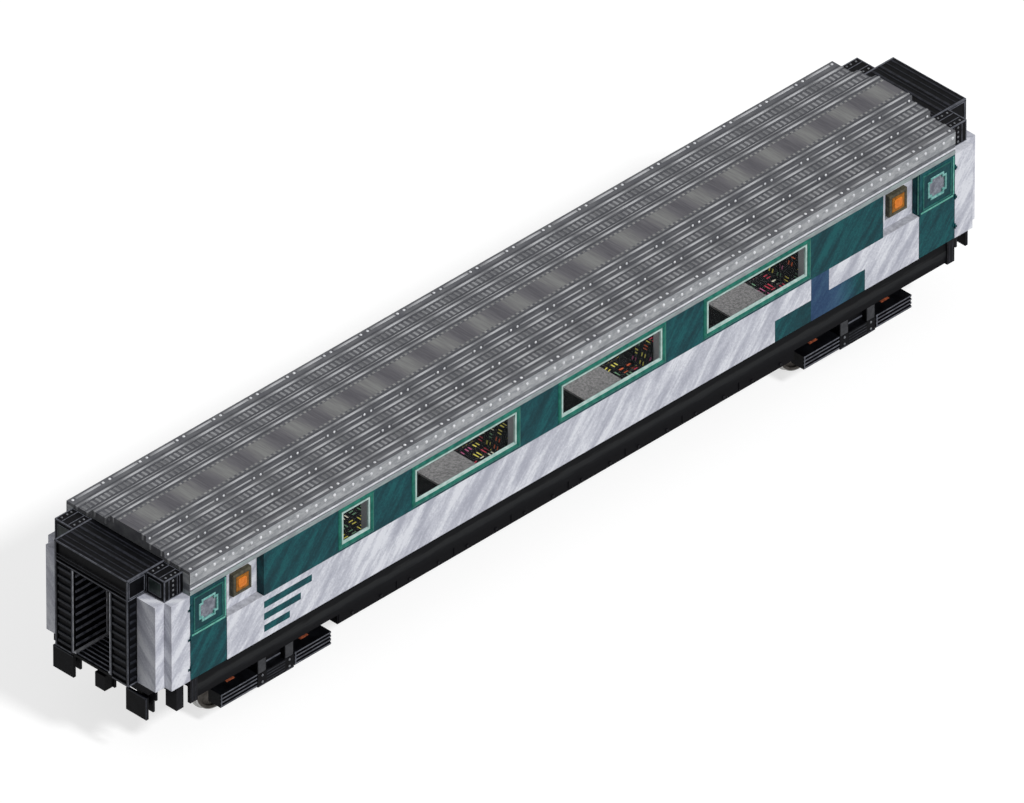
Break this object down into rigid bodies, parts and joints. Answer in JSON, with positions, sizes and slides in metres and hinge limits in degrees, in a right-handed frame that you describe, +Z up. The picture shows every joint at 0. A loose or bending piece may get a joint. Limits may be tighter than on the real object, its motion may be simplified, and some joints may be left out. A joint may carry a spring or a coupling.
{
  "type": "passenger coach",
  "caption": "Long railway passenger coach with a stepped riveted roof, gangway ends, hinged entrance doors, wide side windows and two swivelling bogies.",
  "frame": {"origin": "under the middle of the coach, level with the lowest points of the wheel flanges", "axes": "+X along the coach towards its rear end, +Y across it towards its right side, +Z up"},
  "size_m": [20.7, 3.096, 4.1408],
  "materials": {
    "underframe_paint": "matt dark grey paint, dusty",
    "skirt_black": "satin black paint with a grey dust line",
    "carpet": "black carpet with coloured flecks",
    "livery": "teal upper half, white lower half, streaked gloss paint",
    "white_paint": "white streaked paint",
    "door_frame_grey": "grey paint",
    "roof_sheet": "ribbed and riveted grey steel sheet",
    "cornice_paint": "light grey paint, riveted",
    "gangway_black": "black paint with grey edge wear",
    "shoulder_glass": "dark green-grey glass",
    "lamp_frame": "bronze-grey paint",
    "lamp_lens": "orange lens with an amber ring",
    "window_frame": "pale mint paint",
    "glass": "clear glass",
    "partition_grey": "light grey laminate",
    "moquette": "black woven pile with coloured flecks",
    "table_grey": "grey speckled laminate on a black base",
    "door_teal": "teal streaked paint with mint lining",
    "bogie_black": "black paint with grey worn ribs",
    "wheel_steel": "worn steel",
    "axle_steel": "oiled dark steel"
  },
  "bodies": {
    "coach_body": {"underframe": "underframe_paint", "bolsters": "underframe_paint", "headstocks": "underframe_paint", "skirts": "skirt_black", "underfloor_cases": "skirt_black", "floor": "carpet", "left_side_wall": "livery", "right_side_wall": "livery", "end_walls": "white_paint", "door_frames": "door_frame_grey", "roof": "roof_sheet", "cornices": "cornice_paint", "front_gangway": "gangway_black", "rear_gangway": "gangway_black", "shoulder_boxes": "gangway_black", "shoulder_lights": "shoulder_glass", "side_lamps": "lamp_frame", "lamp_lenses": "lamp_lens", "window_frames": "window_frame", "window_glass": "glass", "partitions": "partition_grey", "seat_bases": "moquette", "seat_backs": "moquette", "tables": "table_grey", "buffers": "skirt_black", "couplers": "underframe_paint"},
    "front_left_door": {"front_left_door": "door_teal", "front_left_door_glass": "glass"},
    "front_right_door": {"front_right_door": "door_teal", "front_right_door_glass": "glass"},
    "rear_left_door": {"rear_left_door": "door_teal", "rear_left_door_glass": "glass"},
    "rear_right_door": {"rear_right_door": "door_teal", "rear_right_door_glass": "glass"},
    "front_bogie": {"front_bogie_frame": "bogie_black", "front_bogie_boxes": "bogie_black"},
    "rear_bogie": {"rear_bogie_frame": "bogie_black", "rear_bogie_boxes": "bogie_black"},
    "front_outer_wheelset": {"front_outer_wheels": "wheel_steel", "front_outer_axle": "axle_steel"},
    "front_inner_wheelset": {"front_inner_wheels": "wheel_steel", "front_inner_axle": "axle_steel"},
    "rear_inner_wheelset": {"rear_inner_wheels": "wheel_steel", "rear_inner_axle": "axle_steel"},
    "rear_outer_wheelset": {"rear_outer_wheels": "wheel_steel", "rear_outer_axle": "axle_steel"}
  },
  "joints": [
    {"name": "front_left_door_hinge", "type": "hinge", "parent": "coach_body", "child": "front_left_door", "pos_m": [-9.447, -1.534, 2.51], "axis": [0, 0, -1], "range_deg": [0, 90]},
    {"name": "front_right_door_hinge", "type": "hinge", "parent": "coach_body", "child": "front_right_door", "pos_m": [-9.447, 1.534, 2.51], "axis": [0, 0, 1], "range_deg": [0, 90]},
    {"name": "rear_left_door_hinge", "type": "hinge", "parent": "coach_body", "child": "rear_left_door", "pos_m": [9.447, -1.534, 2.51], "axis": [0, 0, 1], "range_deg": [0, 90]},
    {"name": "rear_right_door_hinge", "type": "hinge", "parent": "coach_body", "child": "rear_right_door", "pos_m": [9.447, 1.534, 2.51], "axis": [0, 0, -1], "range_deg": [0, 90]},
    {"name": "front_bogie_swivel", "type": "hinge", "parent": "coach_body", "child": "front_bogie", "pos_m": [-7.2, 0, 1.06], "axis": [0, 0, 1], "range_deg": [-4, 4]},
    {"name": "rear_bogie_swivel", "type": "hinge", "parent": "coach_body", "child": "rear_bogie", "pos_m": [7.2, 0, 1.06], "axis": [0, 0, 1], "range_deg": [-4, 4]},
    {"name": "front_outer_wheel_roll", "type": "hinge", "parent": "front_bogie", "child": "front_outer_wheelset", "pos_m": [-8.1, 0, 0.563], "axis": [0, 1, 0], "continuous": true},
    {"name": "front_inner_wheel_roll", "type": "hinge", "parent": "front_bogie", "child": "front_inner_wheelset", "pos_m": [-6.3, 0, 0.563], "axis": [0, 1, 0], "continuous": true},
    {"name": "rear_inner_wheel_roll", "type": "hinge", "parent": "rear_bogie", "child": "rear_inner_wheelset", "pos_m": [6.3, 0, 0.563], "axis": [0, 1, 0], "continuous": true},
    {"name": "rear_outer_wheel_roll", "type": "hinge", "parent": "rear_bogie", "child": "rear_outer_wheelset", "pos_m": [8.1, 0, 0.563], "axis": [0, 1, 0], "continuous": true}
  ]
}
